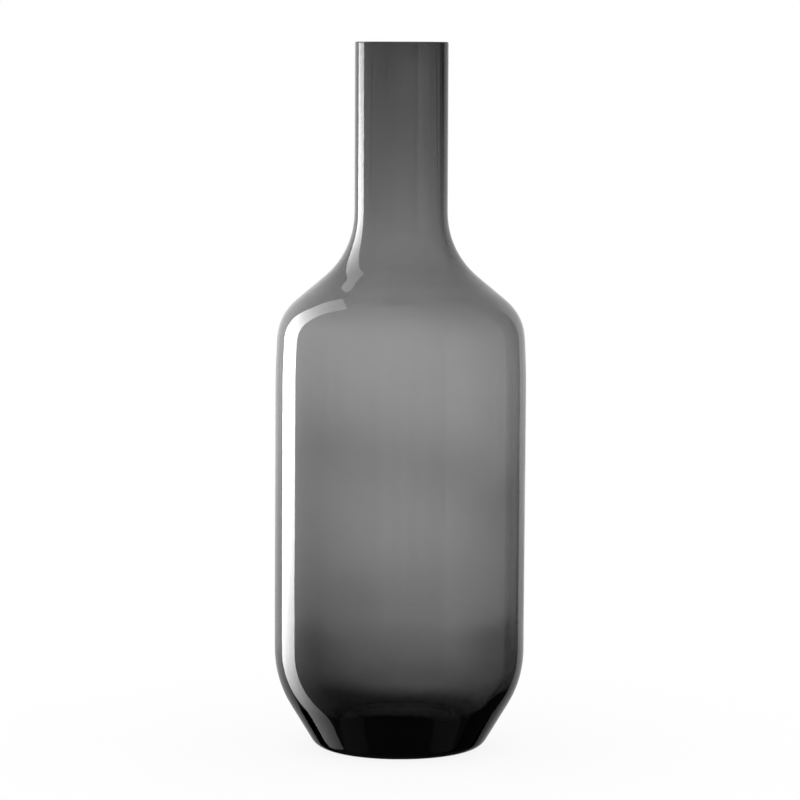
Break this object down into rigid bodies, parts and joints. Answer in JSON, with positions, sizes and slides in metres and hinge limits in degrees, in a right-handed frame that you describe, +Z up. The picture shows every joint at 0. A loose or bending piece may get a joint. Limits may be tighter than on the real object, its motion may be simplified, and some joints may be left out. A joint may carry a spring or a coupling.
{
  "type": "bottle vase",
  "caption": "Free-standing bottle vase in smoke-grey blown glass: straight open neck, sloped shoulder, cylindrical body, bevelled heel and a thick pushed-up base.",
  "frame": {"origin": "centre of the base, on the surface that the vase stands on", "axes": "+Z up along the axis of revolution, from the base to the mouth; X and Y are free, because the vase is round"},
  "size_m": [0.1383, 0.1382, 0.39],
  "materials": {
    "smoke_glass": "clear polished glass, coloured grey all through, so it is lightest where the wall is thin and near black in the base"
  },
  "bodies": {
    "root": {"glass_vessel": "smoke_glass"}
  },
  "joints": []
}
